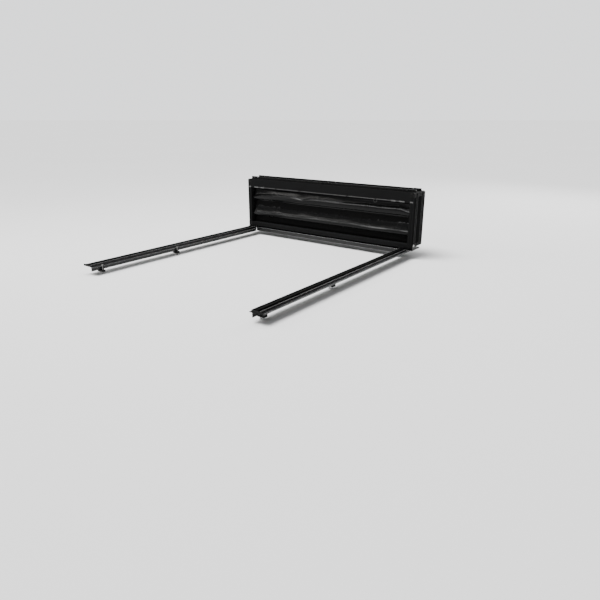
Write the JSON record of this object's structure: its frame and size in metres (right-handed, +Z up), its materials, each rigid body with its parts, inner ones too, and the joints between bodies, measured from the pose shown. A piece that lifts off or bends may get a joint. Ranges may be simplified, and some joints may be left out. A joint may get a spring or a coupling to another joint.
{
  "type": "folding tonneau cover",
  "caption": "Soft tonneau cover whose hinged vinyl panels fold against the cab, with clamp-on side rails, a cab rail, seals and slam latches.",
  "frame": {"origin": "middle of the cab rail's seat, on the plane of the bed's top", "axes": "+X to the vehicle's right side, +Y forwards towards the cab, +Z up; the cover is stored folded and upright"},
  "size_m": [1.846, 2.165, 0.577],
  "materials": {
    "vinyl": "black PVC-coated fabric, semi-gloss with a fine grain",
    "rubber": "black EPDM",
    "bow_aluminium": "satin mill finish",
    "corner_plastic": "glass-filled nylon, fine texture",
    "trim_plastic": "moulded nylon",
    "rail_powder_coat": "black satin powder coat",
    "frame_powder_coat": "black satin powder coat",
    "hinge_steel": "black e-coated steel",
    "clamp_powder_coat": "black textured powder coat",
    "zinc_steel": "bright zinc plate"
  },
  "bodies": {
    "rails": {"side_rail_left": "rail_powder_coat", "side_rail_right": "rail_powder_coat", "rail_seals": "rubber", "rail_end_caps": "trim_plastic", "cab_rail": "rail_powder_coat", "cab_seal": "rubber", "pivot_brackets": "zinc_steel", "pivot_pins": "zinc_steel"},
    "panel_1": {"panel_1_side_bar_left": "frame_powder_coat", "panel_1_side_bar_right": "frame_powder_coat", "panel_1_front_bar": "frame_powder_coat", "panel_1_rear_bar": "frame_powder_coat", "panel_1_bows": "bow_aluminium", "panel_1_corners": "corner_plastic", "panel_1_skin": "vinyl", "panel_1_retainer": "bow_aluminium", "panel_1_clips": "trim_plastic", "hinge_1_front_leaves": "hinge_steel", "hinge_1_pins": "zinc_steel"},
    "panel_2": {"panel_2_side_bar_left": "frame_powder_coat", "panel_2_side_bar_right": "frame_powder_coat", "panel_2_front_bar": "frame_powder_coat", "panel_2_rear_bar": "frame_powder_coat", "panel_2_bows": "bow_aluminium", "panel_2_corners": "corner_plastic", "panel_2_skin": "vinyl", "hinge_1_rear_leaves": "hinge_steel", "hinge_2_front_leaves": "hinge_steel", "hinge_2_pins": "zinc_steel"},
    "panel_3": {"panel_3_side_bar_left": "frame_powder_coat", "panel_3_side_bar_right": "frame_powder_coat", "panel_3_front_bar": "frame_powder_coat", "panel_3_rear_bar": "frame_powder_coat", "panel_3_bows": "bow_aluminium", "panel_3_corners": "corner_plastic", "panel_3_skin": "vinyl", "hinge_2_rear_leaves": "hinge_steel", "hinge_3_front_leaves": "hinge_steel", "hinge_3_pins": "zinc_steel"},
    "panel_4": {"panel_4_side_bar_left": "frame_powder_coat", "panel_4_side_bar_right": "frame_powder_coat", "panel_4_front_bar": "frame_powder_coat", "panel_4_rear_bar": "frame_powder_coat", "panel_4_bows": "bow_aluminium", "panel_4_corners": "corner_plastic", "panel_4_skin": "vinyl", "hinge_3_rear_leaves": "hinge_steel", "tail_seal": "rubber", "latch_housings": "clamp_powder_coat", "latch_pins": "zinc_steel"},
    "latch_lever_left": {"latch_lever_left": "zinc_steel"},
    "latch_lever_right": {"latch_lever_right": "zinc_steel"},
    "clamp_bolt_left_mid": {"clamp_bolt_left_mid": "zinc_steel"},
    "clamp_jaw_left_mid": {"clamp_jaw_left_mid": "clamp_powder_coat"},
    "clamp_bolt_left_rear": {"clamp_bolt_left_rear": "zinc_steel"},
    "clamp_jaw_left_rear": {"clamp_jaw_left_rear": "clamp_powder_coat"},
    "clamp_bolt_right_mid": {"clamp_bolt_right_mid": "zinc_steel"},
    "clamp_jaw_right_mid": {"clamp_jaw_right_mid": "clamp_powder_coat"},
    "clamp_bolt_right_rear": {"clamp_bolt_right_rear": "zinc_steel"},
    "clamp_jaw_right_rear": {"clamp_jaw_right_rear": "clamp_powder_coat"}
  },
  "joints": [
    {"name": "panel_1_tilt", "type": "hinge", "parent": "rails", "child": "panel_1", "pos_m": [0, -0.059, 0.045], "axis": [1, 0, 0], "range_deg": [0, 90]},
    {"name": "fold_1_2", "type": "hinge", "parent": "panel_1", "child": "panel_2", "pos_m": [0, -0.031, 0.504], "axis": [1, 0, 0], "range_deg": [0, 180]},
    {"name": "fold_2_3", "type": "hinge", "parent": "panel_2", "child": "panel_3", "pos_m": [0, 0.022, 0.013], "axis": [-1, 0, 0], "range_deg": [0, 180]},
    {"name": "fold_3_4", "type": "hinge", "parent": "panel_3", "child": "panel_4", "pos_m": [0, 0.075, 0.504], "axis": [1, 0, 0], "range_deg": [0, 180]},
    {"name": "latch_left", "type": "hinge", "parent": "panel_4", "child": "latch_lever_left", "pos_m": [-0.742, 0.139, 0.038], "axis": [0, 0, -1], "range_deg": [0, 35], "stiffness_Nm_per_rad": 0.4},
    {"name": "latch_right", "type": "hinge", "parent": "panel_4", "child": "latch_lever_right", "pos_m": [0.742, 0.139, 0.038], "axis": [0, 0, 1], "range_deg": [0, 35], "stiffness_Nm_per_rad": 0.4},
    {"name": "jaw_slide_left_mid", "type": "slide", "parent": "rails", "child": "clamp_jaw_left_mid", "axis": [0, 0, -1], "range_m": [0, 0.012]},
    {"name": "bolt_turn_left_mid", "type": "hinge", "parent": "rails", "child": "clamp_bolt_left_mid", "pos_m": [-0.797, -1.15, 0], "axis": [0, 0, 1], "range_deg": [0, 3459.6]},
    {"name": "jaw_slide_left_rear", "type": "slide", "parent": "rails", "child": "clamp_jaw_left_rear", "axis": [0, 0, -1], "range_m": [0, 0.012]},
    {"name": "bolt_turn_left_rear", "type": "hinge", "parent": "rails", "child": "clamp_bolt_left_rear", "pos_m": [-0.797, -1.89, 0], "axis": [0, 0, 1], "range_deg": [0, 3459.6]},
    {"name": "jaw_slide_right_mid", "type": "slide", "parent": "rails", "child": "clamp_jaw_right_mid", "axis": [0, 0, -1], "range_m": [0, 0.012]},
    {"name": "bolt_turn_right_mid", "type": "hinge", "parent": "rails", "child": "clamp_bolt_right_mid", "pos_m": [0.797, -1.15, 0], "axis": [0, 0, 1], "range_deg": [0, 3459.6]},
    {"name": "jaw_slide_right_rear", "type": "slide", "parent": "rails", "child": "clamp_jaw_right_rear", "axis": [0, 0, -1], "range_m": [0, 0.012]},
    {"name": "bolt_turn_right_rear", "type": "hinge", "parent": "rails", "child": "clamp_bolt_right_rear", "pos_m": [0.797, -1.89, 0], "axis": [0, 0, 1], "range_deg": [0, 3459.6]}
  ],
  "couplings": [
    {"joint": "fold_2_3", "follows": "fold_1_2", "ratio": 1},
    {"joint": "bolt_turn_left_mid", "follows": "jaw_slide_left_mid", "rad_per_m": 5026.5},
    {"joint": "bolt_turn_left_rear", "follows": "jaw_slide_left_rear", "rad_per_m": 5026.5},
    {"joint": "bolt_turn_right_mid", "follows": "jaw_slide_right_mid", "rad_per_m": 5026.5},
    {"joint": "bolt_turn_right_rear", "follows": "jaw_slide_right_rear", "rad_per_m": 5026.5}
  ]
}
